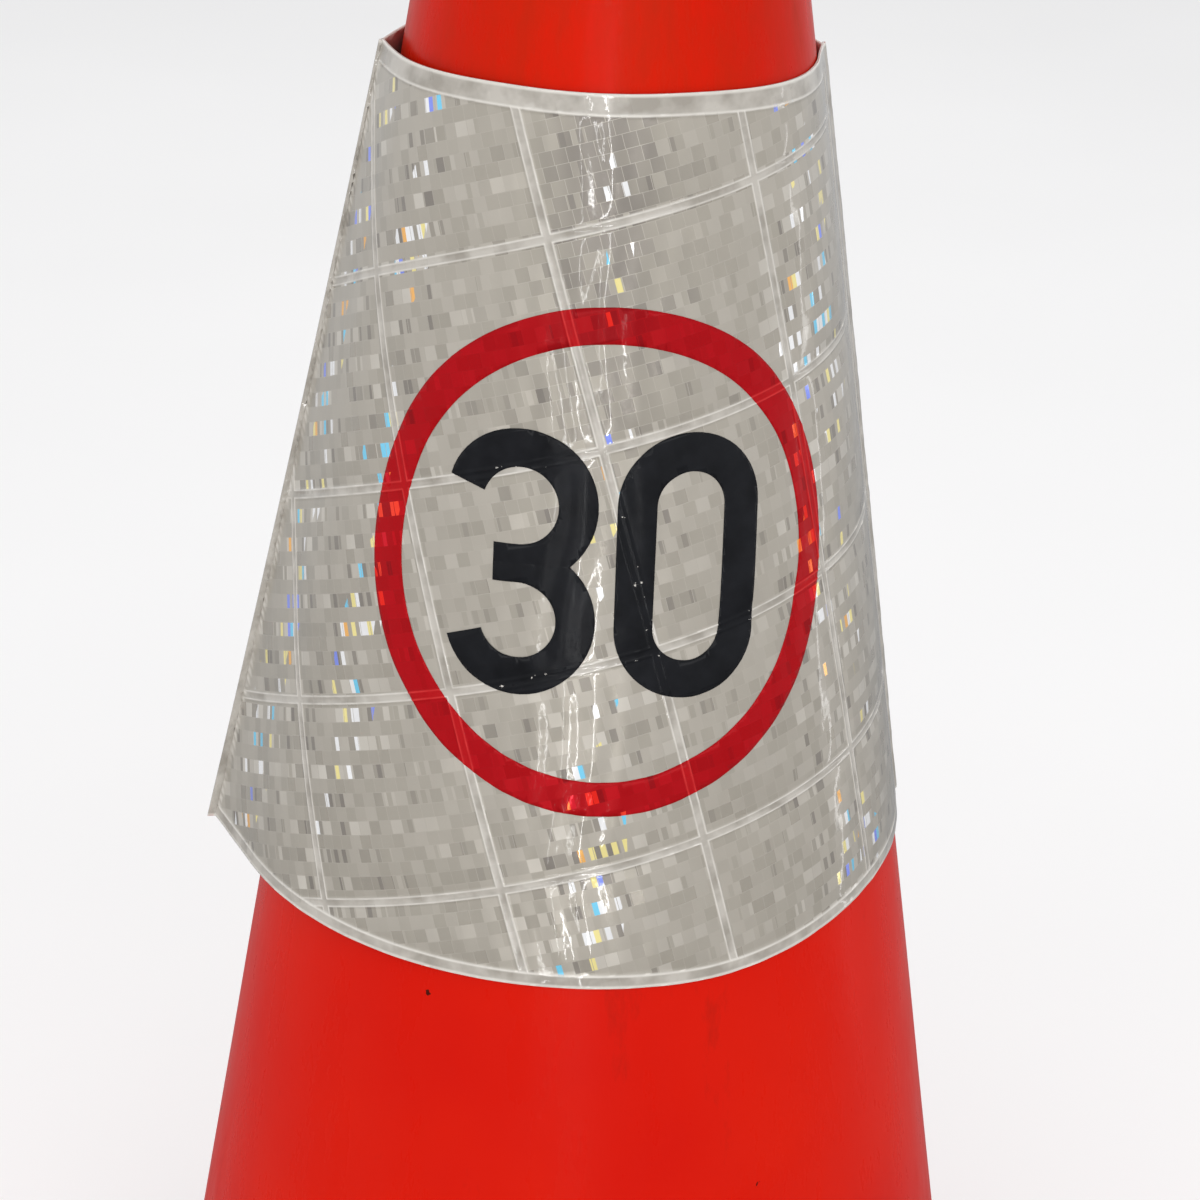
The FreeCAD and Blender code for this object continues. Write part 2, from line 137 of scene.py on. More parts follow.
def glossyPvc():
    # plasticised PVC, injection moulded: glossy and slightly wavy, scuffed, with specks of dirt from the road
    material, tree, shader = startMaterial("pvcMouldedRedOrangeGloss")
    place = addNode(tree, "TexCoord").outputs["Object"]
    clouds = addNode(tree, "TexNoise", {"Vector": place, "Scale": 9, "Detail": 3})
    tint = addNode(tree, "ValToRGB", {"Fac": clouds})
    setRamp(tint, [(0.35, "#d71000"), (0.65, "#e01a00")])
    stretched = addNode(tree, "Mapping", {"Vector": place, "Scale": (1, 1, 0.25), "Rotation": (0.5, 0.3, 0)})
    grime = addNode(tree, "TexNoise", {"Vector": stretched, "Scale": 45, "Detail": 8, "Roughness": 0.7})
    upright = addNode(tree, "SeparateXYZ", {0: place})
    # darker, browner towards the top in patches: partly painted shade for the dimmer top, partly mottle
    towardsTop = addNode(tree, "MapRange", {"Value": upright.outputs["Z"], "From Min": 0.4, "From Max": 0.7})
    patches = addNode(tree, "MapRange", {"Value": grime, "From Min": 0.35, "From Max": 0.65, "To Min": 0.15})
    topShadeAndMottle = addNode(tree, "Math", {0: towardsTop, 1: patches}, operation="MULTIPLY")
    shadedTop = addNode(tree, "Mix", {0: topShadeAndMottle, 6: tint, 7: linear("#b02808")}, data_type="RGBA")
    grimeMask = addNode(tree, "MapRange", {"Value": grime, "From Min": 0.62, "From Max": 0.8, "To Max": 0.55})
    dirty = addNode(tree, "Mix", {0: grimeMask, 6: shadedTop.outputs[2], 7: linear("#971806")}, data_type="RGBA")
    speckCells = addNode(tree, "TexVoronoi", {"Vector": place, "Scale": 70})
    ragged = addNode(tree, "TexNoise", {"Vector": place, "Scale": 900, "Detail": 2})
    speckReach = addNode(tree, "Math", {0: ragged, 1: 0.16, 2: speckCells.outputs["Distance"]},
                         operation="MULTIPLY_ADD")
    speckNear = addNode(tree, "Math", {0: speckReach, 1: 0.145}, operation="LESS_THAN")
    speckPick = addNode(tree, "SeparateColor", {0: speckCells.outputs["Color"]})
    speckRare = addNode(tree, "Math", {0: speckPick, 1: 0.93}, operation="GREATER_THAN")
    speck = addNode(tree, "Math", {0: speckNear, 1: speckRare}, operation="MULTIPLY")
    specked = addNode(tree, "Mix", {0: speck, 6: dirty.outputs[2], 7: linear("#4a1208")}, data_type="RGBA")
    tree.links.new(specked.outputs[2], shader.inputs["Base Color"])
    gloss = addNode(tree, "MapRange", {"Value": grime, "From Min": 0.3, "From Max": 0.75,
                                       "To Min": 0.2, "To Max": 0.42})
    tree.links.new(gloss.outputs[0], shader.inputs["Roughness"])
    peel = addNode(tree, "TexNoise", {"Vector": place, "Scale": 260, "Detail": 2})  # 4 mm, coarser than real
    scratches = addNode(tree, "TexNoise", {"Vector": stretched, "Scale": 900, "Detail": 4})
    relief = addNode(tree, "Math", {0: peel, 1: scratches}, operation="ADD")
    bump = addNode(tree, "Bump", {"Strength": 0.12, "Distance": 0.3 * mm, "Height": relief})
    tree.links.new(bump.outputs[0], shader.inputs["Normal"])
    shader.inputs["Specular IOR Level"].default_value = 0.08  # keeps the pale room from veiling the red
    return material


def makeCone():
    bm = bmesh.new()
    foot, top = cone["flangeLift"], cone["height"]
    flange = coneRadius(cone["flangeTop"]) + cone["flangeReach"]
    rimFoot = top - cone["rimHeight"]
    boreFoot = top - cone["boreLength"]
    rim = coneRadius(rimFoot) + cone["rimLip"]
    spinProfile(bm, [
        (coneRadius(foot) - cone["wall"], foot), (flange, foot), (flange, cone["flangeTop"]),
        (coneRadius(cone["flangeTop"]), cone["flangeTop"]), (coneRadius(rimFoot), rimFoot),
        (rim, rimFoot), (rim, top), (cone["boreRadius"], top), (cone["boreRadius"], boreFoot),
        (coneRadius(boreFoot) - cone["wall"], boreFoot),
    ], cone["steps"], closed=True)
    bmesh.ops.recalc_face_normals(bm, faces=bm.faces)
    bevelSharp(bm, cone["rimRound"], 4, within=lambda co: co.z > rimFoot - mm and
               (co.xy.length > coneRadius(rimFoot) + mm or co.z > top - mm))
    bevelSharp(bm, cone["flangeRound"], 3, within=lambda co: co.z < cone["footZone"])
    bevelSharp(bm, cone["throatRound"], 2, within=lambda co: cone["throatZone"] < co.z < top - mm)
    longSides = [e for e in bm.edges if abs(e.verts[0].co.z - e.verts[1].co.z) > cone["longSide"]]
    bmesh.ops.subdivide_edges(bm, edges=longSides, cuts=cone["wallCuts"], use_grid_fill=True)
    for vert in bm.verts:  # the moulded wall isn't quite true
        if cone["footZone"] < vert.co.z < rimFoot - 5 * mm:
            outwards = Vector((vert.co.x, vert.co.y, 0)).normalized()
            vert.co += outwards * cone["waviness"] * noise.noise(vert.co / cone["waveLength"])
    ribMiddle = top - cone["ribDrop"] - cone["ribLength"] / 2
    ribDeep = cone["ribDepth"] + cone["ribRoot"]  # the root is in the wall
    rib = bmesh.ops.create_cube(bm, size=1)["verts"]
    bmesh.ops.scale(bm, verts=rib, vec=(ribDeep, cone["ribWidth"], cone["ribLength"]))
    bmesh.ops.rotate(bm, verts=rib, cent=(0, 0, 0), matrix=Matrix.Rotation(-cone["slope"], 3, "Y"))
    inwards = coneRadius(ribMiddle) - cone["wall"] - cone["ribDepth"] + ribDeep / 2
    bmesh.ops.translate(bm, verts=rib, vec=(inwards, 0, ribMiddle))
    ribFaces = list({face for vert in rib for face in vert.link_faces})
    for k in range(1, cone["ribs"]):
        copy = bmesh.ops.duplicate(bm, geom=ribFaces)["geom"]
        verts = [part for part in copy if isinstance(part, bmesh.types.BMVert)]
        turn = Matrix.Rotation(2 * math.pi * k / cone["ribs"], 3, "Z")
        bmesh.ops.rotate(bm, verts=verts, cent=(0, 0, 0), matrix=turn)
    return finishPiece(bm, "coneBody", glossyPvc(), "cone", ["cone_body"])


# the rubber base
base = {
    "width": 0.370, "corner": 0.042, "underside": 0.004, "top": 0.031, "bevel": 0.009,
    "collarWidth": 0.009, "collarTop": 0.038, "collarBevel": 0.003, "clearance": 0.0005,
    "flangeClearance": 0.0015, "padRadius": 0.022, "padInset": 0.038, "padRound": 0.001,
    "edgeRound": 0.0012, "steps": 96, "cornerSteps": 12, "padSteps": 40,
}


def mouldedRubber():
    # recycled rubber crumb, compression moulded: black, dull and fine grained, grey where dust settles
    material, tree, shader = startMaterial("rubberMouldedBlackDull")
    place = addNode(tree, "TexCoord").outputs["Object"]
    dustClouds = addNode(tree, "TexNoise", {"Vector": place, "Scale": 14, "Detail": 7, "Roughness": 0.65})
    upwards = addNode(tree, "SeparateXYZ", {0: addNode(tree, "NewGeometry").outputs["Normal"]})
    lying = addNode(tree, "MapRange", {"Value": upwards.outputs["Z"], "From Min": 0.5, "From Max": 1})
    dust = addNode(tree, "MapRange", {"Value": dustClouds, "From Min": 0.42, "From Max": 0.72, "To Max": 0.5})
    dustMask = addNode(tree, "Math", {0: dust, 1: lying}, operation="MULTIPLY")
    crumbs = addNode(tree, "TexVoronoi", {"Vector": place, "Scale": 420})  # crumbs of about 2.5 mm
    crumbTone = addNode(tree, "ValToRGB", {"Fac": crumbs.outputs["Distance"]})
    setRamp(crumbTone, [(0.0, "#1b1b1c"), (0.9, "#2b2a2a")])
    colour = addNode(tree, "Mix", {0: dustMask, 6: crumbTone, 7: linear("#7d766b")}, data_type="RGBA")
    tree.links.new(colour.outputs[2], shader.inputs["Base Color"])
    rough = addNode(tree, "MapRange", {"Value": dustClouds, "To Min": 0.55, "To Max": 0.85})
    tree.links.new(rough.outputs[0], shader.inputs["Roughness"])
    grain = addNode(tree, "TexNoise", {"Vector": place, "Scale": 700, "Detail": 5})
    height = addNode(tree, "Math", {0: grain, 1: crumbs.outputs["Distance"]}, operation="ADD")
    bump = addNode(tree, "Bump", {"Strength": 0.35, "Distance": 0.4 * mm, "Height": height})
    tree.links.new(bump.outputs[0], shader.inputs["Normal"])
    return material


def makeBase():
    bm = bmesh.new()
    thick = base["top"] - base["underside"]
    block = bmesh.ops.create_cube(bm, size=1)["verts"]
    bmesh.ops.scale(bm, verts=block, vec=(base["width"], base["width"], thick))
    bmesh.ops.translate(bm, verts=block, vec=(0, 0, base["underside"] + thick / 2))
    upright = [e for e in bm.edges if abs(e.verts[0].co.z - e.verts[1].co.z) > thick / 2]
    bmesh.ops.bevel(bm, geom=upright, offset=base["corner"], segments=base["cornerSteps"], profile=0.5,
                    affect="EDGES", material=-1)
    upper = [e for e in bm.edges if min(v.co.z for v in e.verts) > base["top"] - mm]
    bmesh.ops.bevel(bm, geom=upper, offset=base["bevel"], segments=1, profile=0.5,
                    affect="EDGES", material=-1)
    lids = [f for f in bm.faces if abs(f.normal.z) > 0.99]
    rimLoops = {round(f.calc_center_median().z, 4): list(f.edges) for f in lids}
    bmesh.ops.delete(bm, geom=lids, context="FACES_ONLY")
    before = set(bm.edges)
    collarRadius = coneRadius(base["collarTop"]) + base["clearance"] + base["collarWidth"]
    recess = coneRadius(cone["flangeTop"]) + cone["flangeReach"] + base["flangeClearance"]
    spinProfile(bm, [
        (collarRadius, base["top"]), (collarRadius, base["collarTop"] - base["collarBevel"]),
        (collarRadius - base["collarBevel"], base["collarTop"]),
        (coneRadius(base["collarTop"]) + base["clearance"], base["collarTop"]),
        (coneRadius(cone["flangeTop"]) + base["clearance"], cone["flangeTop"]),
        (recess, cone["flangeTop"]), (recess, base["underside"]),
    ], base["steps"], closed=False)
    for height, radius in ((base["top"], collarRadius), (base["underside"], recess)):
        ring = [e for e in bm.edges if e not in before and e.is_boundary
                and all(abs(v.co.z - height) < 0.1 * mm and abs(v.co.xy.length - radius) < 0.1 * mm
                        for v in e.verts)]
        bmesh.ops.triangle_fill(bm, edges=rimLoops[round(height, 4)] + ring, use_beauty=True,
                                use_dissolve=False)
    bmesh.ops.recalc_face_normals(bm, faces=bm.faces)
    bevelSharp(bm, base["edgeRound"], 3)
    corner = base["width"] / 2 - base["padInset"]
    for x, y in ((-corner, -corner), (corner, -corner), (corner, corner), (-corner, corner)):
        pad = bmesh.ops.create_cone(bm, cap_ends=True, segments=base["padSteps"],
                                    radius1=base["padRadius"], radius2=base["padRadius"],
                                    depth=base["underside"] + mm)["verts"]
        bmesh.ops.translate(bm, verts=pad, vec=(x, y, (base["underside"] + mm) / 2))
        lower = {e for v in pad for e in v.link_edges if max(w.co.z for w in e.verts) < mm}
        bmesh.ops.bevel(bm, geom=list(lower), offset=base["padRound"], segments=3, profile=0.5,
                        affect="EDGES", material=-1)
    return finishPiece(bm, "baseBlock", mouldedRubber(), "cone", ["base_block"])


# the sleeve's shape: angles are round the axis from the front, to the right; reaches are in cone radii
sleeve = {
    "top": 0.3599, "bottom": 0.6099,  # distances from the cone's apex, down the slope
    "slack": 0.1, "flatRun": 0.27, "leftSeam": math.radians(-84), "rightReach": 1.018,
    "leftGape": (0.72, 1.42), "rightGape": (1.6, 0.5),  # how much the seams stand off, top and bottom
    "rightGapeEnd": math.radians(200),
    "finWidth": 0.0033, "lapWidth": 0.003, "hem": 0.0053, "lowerHem": 0.0034,
    "sideBand": 0.0115,  # angle at the apex
    "backingLift": 0.0007, "backingFilm": 0.28 * mm, "prismLift": 1.05 * mm, "prismFilm": 0.33 * mm,
    "printLift": 0.1 * mm, "printFilm": 0.08 * mm,
    "foldLength": 0.8 * mm, "finGap": 0.1 * mm, "lapLift": 1.1 * mm, "seamWeld": 0.6 * mm,
    "nearSeam": 0.01, "lapAim": 0.012, "lapSide": 0.05,  # angles at the apex
    "steps": 2880, "probe": 0.002,  # azimuths in the section; turn by which a normal is felt
}
# the film's welded diamond grid: pitch across and down, slant, and the crossing that it starts from
weld = {
    "pitch": (0.059, 0.05926), "slant": 0.2796, "start": (0.0016, 0.4546), "backSlant": -0.21,
    "cells": (48, 24), "across": 8, "pillow": 0.8 * mm, "rise": 0.007, "bead": 0.26 * mm, "beadPlace": 0.0011,
    "beadHalf": 0.00038, "cuts": (0.0007, 0.0011, 0.0015, 0.0021),
    "hemLift": 0.12 * mm, "hemBeadPlace": 0.0004, "hemBeadHalf": 0.0006, "margin": (0.03, 0.015),
    "wrinkle": 0.16 * mm, "wrinkleLength": (0.006, 0.003), "beadLength": 0.004,
    "patch": (0.05, 0.07, 0.09), "wander": 0.006, "fadeIn": 0.004,
    # lines from the hem's inner border inwards, and from the cut edge inwards
    "hemCuts": (-0.0002, 0.0004, 0.001, 0.0018), "edgeCuts": (0.0006, 0.0011),
    "weldFade": 0.0004, "hemFade": 0.0009, "edgeFade": 0.0008,  # over which the milky weld clears
    "rippleHeight": 0.1 * mm, "rippleLength": 0.0085, "rippleSpread": 0.04,
}
# azimuths round which glints are painted into the tiles' colour, as painted reflections of the lamps, how
# wide each band is and how patchy along the slope
glintAzimuths = [math.radians(degrees) for degrees in (-73, -49, 3, 52, 65, 112, 150, 184, 218, 250)]
glintSpread = math.radians(13)
glintPatch = (0.3, 0.035)
paintedShadeSpread = math.radians(15)  # painted shade on the upper front: half its width, and how far down it goes
paintedShadeReach = 0.75


def flatRunNormal():
    # the direction, round the wide bend's own middle, that the straight run at the left seam faces
    low, high, seam = 0, -sleeve["leftSeam"], -sleeve["leftSeam"]
    for _ in range(50):
        turn = (low + high) / 2
        wide = 1 + sleeve["slack"] - sleeve["slack"] * math.cos(turn)
        run = wide * math.tan(seam - turn) - sleeve["slack"] * math.sin(turn)
        low, high = (turn, high) if run > sleeve["flatRun"] else (low, turn)
    return -low


runFacing = flatRunNormal()
runReach = 1 + sleeve["slack"] - sleeve["slack"] * math.cos(runFacing)
bendEnd = math.atan2((1 + sleeve["slack"]) * math.sin(runFacing),
                     (1 + sleeve["slack"]) * math.cos(runFacing) - sleeve["slack"])
backLeft = sleeve["leftSeam"] + 2 * math.pi - math.acos(math.cos(sleeve["leftSeam"] - runFacing) / runReach)
rightSeam = sleeve["leftSeam"] + math.pi
rightTurn = math.acos(1 / sleeve["rightReach"])


def sectionReach(azimuth):
    # distance from the axis to the sleeve's section, in cone radii, from the left seam round to it again
    slack = sleeve["slack"]
    if azimuth < bendEnd:
        return runReach / math.cos(azimuth - runFacing)
    if azimuth < 0:
        return -slack * math.cos(azimuth) + math.sqrt((1 + slack) ** 2 - (slack * math.sin(azimuth)) ** 2)
    if abs(azimuth - rightSeam) < rightTurn:
        return 1 / math.cos(rightTurn - abs(azimuth - rightSeam))
    if azimuth > backLeft:
        return 1 / math.cos(azimuth - backLeft)
    return 1


def rulingDirection(azimuth, down=None):
    # unit vector from the apex along the sleeve; down, from 0 to 1, lets the seams gape
    reach = sectionReach(azimuth)
    if down is not None:
        gape = sleeve["leftGape"] if azimuth < 0 or azimuth > sleeve["rightGapeEnd"] else sleeve["rightGape"]
        reach = 1 + (reach - 1) * (gape[0] + (gape[1] - gape[0]) * down)
    sideways = reach * math.sin(cone["slope"])
    return Vector((sideways * math.sin(azimuth), -sideways * math.cos(azimuth),
                   -math.cos(cone["slope"]))).normalized()


def unrollSection():
    # for each azimuth, the angle at the apex of the flat film, which is 0 at the front
    steps = sleeve["steps"]
    azimuths = [sleeve["leftSeam"] + 2 * math.pi * k / steps for k in range(steps + 1)]
    angles = [0.0]
    for before, after in zip(azimuths, azimuths[1:]):
        angles.append(angles[-1] + rulingDirection(before).angle(rulingDirection(after)))
    front = bisect.bisect(azimuths, 0)
    return azimuths, [angle - angles[front] for angle in angles]


sectionAzimuths, sectionAngles = unrollSection()
leftAngle = sectionAngles[0]
rightAngle = sectionAngles[sleeve["steps"] // 2]
endAngle = sectionAngles[-1]


def azimuthAt(angle):
    k = min(max(bisect.bisect(sectionAngles, angle), 1), sleeve["steps"])
    part = (angle - sectionAngles[k - 1]) / (sectionAngles[k] - sectionAngles[k - 1])
    return sectionAzimuths[k - 1] + part * (sectionAzimuths[k] - sectionAzimuths[k - 1])


def onSleeve(angle, far, inner):
    # a point of the bare sleeve surface and its outward normal, felt on the side of a seam where inner is
    azimuth = azimuthAt(angle)
    down = (far - sleeve["top"]) / (sleeve["bottom"] - sleeve["top"])
    step = sleeve["probe"] * (1 if azimuth < azimuthAt(inner) else -1)
    ruling = rulingDirection(azimuth, down)
    sideways = (rulingDirection(azimuth + step, down) - ruling) / step
    normal = sideways.cross(ruling).normalized()
    if normal.dot(Vector((ruling.x, ruling.y, 0))) < 0:
        normal.negate()
    return Vector((0, 0, coneApex)) + ruling * far, normal


def placeOnSleeve(angle, far, lift, panel):
    # past the panel's two seam angles the film stands out as a fin, or laps round the right seam
    low, high = panel["angles"]
    inside = min(max(angle, low), high)
    point, normal = onSleeve(inside, far, (low + high) / 2)
    over = abs(angle - inside) * far
    if over == 0:
        return point + normal * (sleeve["backingLift"] + lift)
    outwards = Vector((point.x, point.y, 0)).normalized()
    turned = min(1, over / sleeve["foldLength"])
    if abs(inside - leftAngle) < sleeve["nearSeam"] or abs(inside - endAngle) < sleeve["nearSeam"]:
        along = outwards
        facing = Vector((0, 0, 1)).cross(outwards)
        facing *= 1 if normal.dot(facing) > 0 else -1
        extra = sleeve["finGap"] - sleeve["backingLift"]
    else:
        beyond, facing = onSleeve(inside + sleeve["lapAim"], far, inside + sleeve["lapSide"])
        along = (beyond - point).normalized()
        extra = sleeve["lapLift"]
    blended = normal.lerp(facing, turned).normalized()
    return point + along * over + blended * (sleeve["backingLift"] + extra * turned + lift)


def smooth(value):
    value = min(max(value, 0), 1)
    return value * value * (3 - 2 * value)


# where the panels are cut, as distances from the apex, how much that grows across them, and over which angles
cutAt = {
    "frontTop": 0.3584, "frontTopGrowth": 0.0026, "frontTopMiddle": -0.01, "frontTopPlain": 0.05,
    "frontTopRun": 0.16,
    "frontBottom": 0.6132, "frontBottomGrowth": -0.0076, "frontBottomPlain": 0.05, "frontBottomRun": 0.15,
    "backTop": 0.361, "backBottom": 0.6056, "backBottomGrowth": 0.0076,
}
# an edge gives the distance from the apex for an angle there; the front panel isn't cut quite square
frontPanel = {
    "angles": (leftAngle, rightAngle), "turn": 0, "slant": weld["slant"],
    "past": (sleeve["finWidth"], sleeve["lapWidth"]),  # how far it goes on past its two seams
    "topEdge": lambda angle: cutAt["frontTop"] + cutAt["frontTopGrowth"] * smooth(
        (abs(angle - cutAt["frontTopMiddle"]) - cutAt["frontTopPlain"]) / cutAt["frontTopRun"]),
    "bottomEdge": lambda angle: cutAt["frontBottom"] + cutAt["frontBottomGrowth"] * smooth(
        (angle - cutAt["frontBottomPlain"]) / cutAt["frontBottomRun"]),
}
backPanel = {
    "angles": (rightAngle, endAngle), "turn": (rightAngle + endAngle) / 2, "slant": weld["backSlant"],
    "past": (0, sleeve["finWidth"]), "topEdge": lambda angle: cutAt["backTop"],
    "bottomEdge": lambda angle: cutAt["backBottom"] + cutAt["backBottomGrowth"] * smooth(
        (angle - rightAngle) / (endAngle - rightAngle)),
}


def latticeToFlat(slant):
    # from the weld grid, across and down, to the flat film with the apex at the origin and y down the slope
    turn = Matrix.Rotation(-slant, 4, "Z")
    return Matrix.Translation((weld["start"][0], weld["start"][1], 0)) @ turn


def cutLines(bm, axis, places):
    for place in places:
        spot, across = [0, 0, 0], [0, 0, 0]
        spot[axis], across[axis] = place, 1
        bmesh.ops.bisect_plane(bm, geom=bm.verts[:] + bm.edges[:] + bm.faces[:], dist=0.00001 * mm,
                               plane_co=spot, plane_no=across)


def cutWelds(bm):
    # lines along both sides of each weld, so that its channel and beads are in the mesh
    for axis in (0, 1):
        pitch = weld["pitch"][axis]
        low = min(v.co[axis] for v in bm.verts)
        high = max(v.co[axis] for v in bm.verts)
        for k in range(math.ceil(low / pitch), math.floor(high / pitch) + 1):
            cutLines(bm, axis, [k * pitch + side * gap for gap in weld["cuts"] for side in (-1, 1)])


def toPolar(bm, panel):
    # x becomes the angle at the apex and y the distance from it
    for vert in bm.verts:
        x, y = vert.co.x, vert.co.y
        vert.co = (math.atan2(x, y) + panel["turn"], math.hypot(x, y), 0)


def trim(bm, axis, place, keep):
    spot, across = [0, 0, 0], [0, 0, 0]
    spot[axis], across[axis] = place, keep
    bmesh.ops.bisect_plane(bm, geom=bm.verts[:] + bm.edges[:] + bm.faces[:], dist=0.00001 * mm,
                           plane_co=spot, plane_no=across, clear_inner=True)


def shiftEdge(bm, edge, sign):
    # straightens an edge that isn't at one distance from the apex, or bends it back
    for vert in bm.verts:
        vert.co.y -= sign * edge(vert.co.x)


def fromPolar(angle, far, panel):
    # back to the weld grid, in metres across and down
    turned = angle - panel["turn"]
    x = far * math.sin(turned) - weld["start"][0]
    y = far * math.cos(turned) - weld["start"][1]
    c, s = math.cos(panel["slant"]), math.sin(panel["slant"])
    return x * c - y * s, x * s + y * c


def edgeGap(angle, far, panel):
    # distance to the nearest hem or band edge, less than nothing past it
    low, high = panel["angles"]
    return min(far - panel["topEdge"](angle) - sleeve["hem"],
               panel["bottomEdge"](angle) - sleeve["lowerHem"] - far,
               (high - angle - sleeve["sideBand"]) * far,
               (angle - low) * far - sleeve["seamWeld"])


def filmRelief(angle, far, panel):
    # height of the outer film over its flattest place, then how welded it is and how near a bead, 0 to 1
    u, v = fromPolar(angle, far, panel)
    gaps = [abs((place + pitch / 2) % pitch - pitch / 2) for place, pitch in zip((u, v), weld["pitch"])]
    near = min(gaps)
    edge = edgeGap(angle, far, panel)
    flatX = (angle - panel["turn"]) * far
    pillow = weld["pillow"]
    for gap in gaps + [max(edge, 0)]:
        pillow *= 1 - math.exp(-max(gap - weld["cuts"][2], 0) / weld["rise"])
    short, middling, long = weld["patch"]  # reaches over which the film's slackness changes
    pillow *= 0.55 + 0.45 * noise.noise(Vector((u / short, v / middling, 4.2))) + 0.5
    wander = weld["wander"] * noise.noise(Vector((far / short, flatX / long, 1.7)))
    spread = math.exp(-(flatX / weld["rippleSpread"]) ** 2) + 0.35
    ripple = weld["rippleHeight"] * spread * math.sin(2 * math.pi * (flatX + wander) / weld["rippleLength"])
    ripple *= smooth((near - weld["cuts"][-1]) / weld["fadeIn"]) * smooth(edge / weld["fadeIn"])
    bead = max(0, 1 - abs(near - weld["beadPlace"]) / weld["beadHalf"])
    bead *= 0.75 + 0.5 * noise.noise(Vector((u / weld["beadLength"], v / weld["beadLength"], 9.1)))
    hemBead = max(0, 1 - abs(edge - weld["hemBeadPlace"]) / weld["hemBeadHalf"])
    if edge < 0:
        toCut = min(far - panel["topEdge"](angle), panel["bottomEdge"](angle) - far)
        cutEdge = smooth((weld["edgeCuts"][-1] - toCut) / weld["edgeFade"])
        along, across = weld["wrinkleLength"]
        wrinkle = weld["wrinkle"] * noise.noise(Vector((angle * far / along, far / across, 2.4)))
        height = weld["hemLift"] + weld["bead"] * hemBead + wrinkle * (1 - hemBead)
        return height, 1, max(hemBead, cutEdge)
    bead = max(bead, hemBead)
    welded = max(1 - smooth((near - weld["beadPlace"]) / weld["weldFade"]),
                 1 - smooth(edge / weld["hemFade"]))
    return pillow + ripple + weld["bead"] * bead, welded, bead


# painted glints: 0 to 1, how near an azimuth is to a band where glints are painted, patchy along the slope
def paintedGlintBand(azimuth, far):
    off = min(abs(azimuth - each) for each in glintAzimuths)
    patchy = 0.98 + 0.3 * noise.noise(Vector((azimuth / glintPatch[0], far / glintPatch[1], 6.3)))
    return math.exp(-(off / glintSpread) ** 2) * patchy


def paintedDullShade(azimuth, far):
    # painted shade: the film's tone is darkened on the upper front, most at the top middle, fading down and
    # to the sides
    down = (far - sleeve["top"]) / (sleeve["bottom"] - sleeve["top"])
    return math.exp(-(azimuth / paintedShadeSpread) ** 2) * (1 - smooth(down / paintedShadeReach))


def bendOntoSleeve(bm, panel, lift, relief=True):
    # from polar to the sleeve in space, with the weld grid in millimetres as its UV map
    uvLayer = bm.loops.layers.uv.new("weldGrid")
    layers = [bm.verts.layers.float.new(name) for name in ("welded", "bead", "paintedGlintBand", "paintedDullShade")]
    grid = {}
    for vert in bm.verts:
        angle, far = vert.co.x, vert.co.y
        grid[vert] = [place / mm for place in fromPolar(angle, far, panel)]
        height, welded, bead = filmRelief(angle, far, panel) if relief else (0, 0, 0)
        azimuth = azimuthAt(angle)
        for layer, value in zip(layers, (welded, bead, paintedGlintBand(azimuth, far), paintedDullShade(azimuth, far))):
            vert[layer] = value
        vert.co = placeOnSleeve(angle, far, lift + height, panel)
    for face in bm.faces:
        for loop in face.loops:
            loop[uvLayer].uv = grid[loop.vert]
    bm.normal_update()
    first = max(bm.faces, key=lambda face: face.calc_area())
    middle = first.calc_center_median()
    if first.normal.dot(Vector((middle.x, middle.y, 0))) < 0:
        bmesh.ops.reverse_faces(bm, faces=bm.faces)


def panelMesh(panel, fine):
    # the flat film on the weld grid, cut to its outline, in polar coordinates
    bm = bmesh.new()
    pitchU, pitchV = weld["pitch"]
    cellsU, cellsV = weld["cells"] if fine else (weld["cells"][1], weld["cells"][1])
    diamonds = weld["across"]  # enough of them each way to cover the panel
    bmesh.ops.create_grid(bm, x_segments=diamonds * cellsU, y_segments=diamonds * cellsV, size=1)
    bmesh.ops.scale(bm, verts=bm.verts, vec=(diamonds * pitchU / 2, diamonds * pitchV / 2, 1))
    low, high = panel["angles"]
    turnMargin, farMargin = weld["margin"]
    spare = []
    for vert in bm.verts:  # only what the panel needs, and a little round it
        x, y = (latticeToFlat(panel["slant"]) @ vert.co).xy
        angle, far = math.atan2(x, y) + panel["turn"], math.hypot(x, y)
        if not (low - turnMargin < angle < high + turnMargin
                and sleeve["top"] - farMargin < far < sleeve["bottom"] + farMargin):
            spare.append(vert)
    bmesh.ops.delete(bm, geom=spare, context="VERTS")
    if fine:
        cutWelds(bm)
    bmesh.ops.transform(bm, verts=bm.verts, matrix=latticeToFlat(panel["slant"]))
    toPolar(bm, panel)
    before, beyond = panel["past"]
    trim(bm, 0, low - before / sleeve["bottom"], 1)
    trim(bm, 0, high + beyond / sleeve["bottom"], -1)
    cutLines(bm, 0, [low, high])
    if fine:
        cutLines(bm, 0, [high - sleeve["sideBand"] - gap / sleeve["bottom"] for gap in weld["hemCuts"]])
    for edge, side, hem in ((panel["topEdge"], 1, sleeve["hem"]),
                            (panel["bottomEdge"], -1, sleeve["lowerHem"])):
        shiftEdge(bm, edge, 1)
        trim(bm, 1, 0, side)
        if fine:
            cutLines(bm, 1, [side * gap for gap in weld["edgeCuts"]])
            cutLines(bm, 1, [side * (hem + gap) for gap in weld["hemCuts"]])
        shiftEdge(bm, edge, -1)
    return bm


def thicken(piece, thickness):
    solid = piece.modifiers.new("thickness", "SOLIDIFY")
    solid.thickness = thickness
    solid.offset = -1
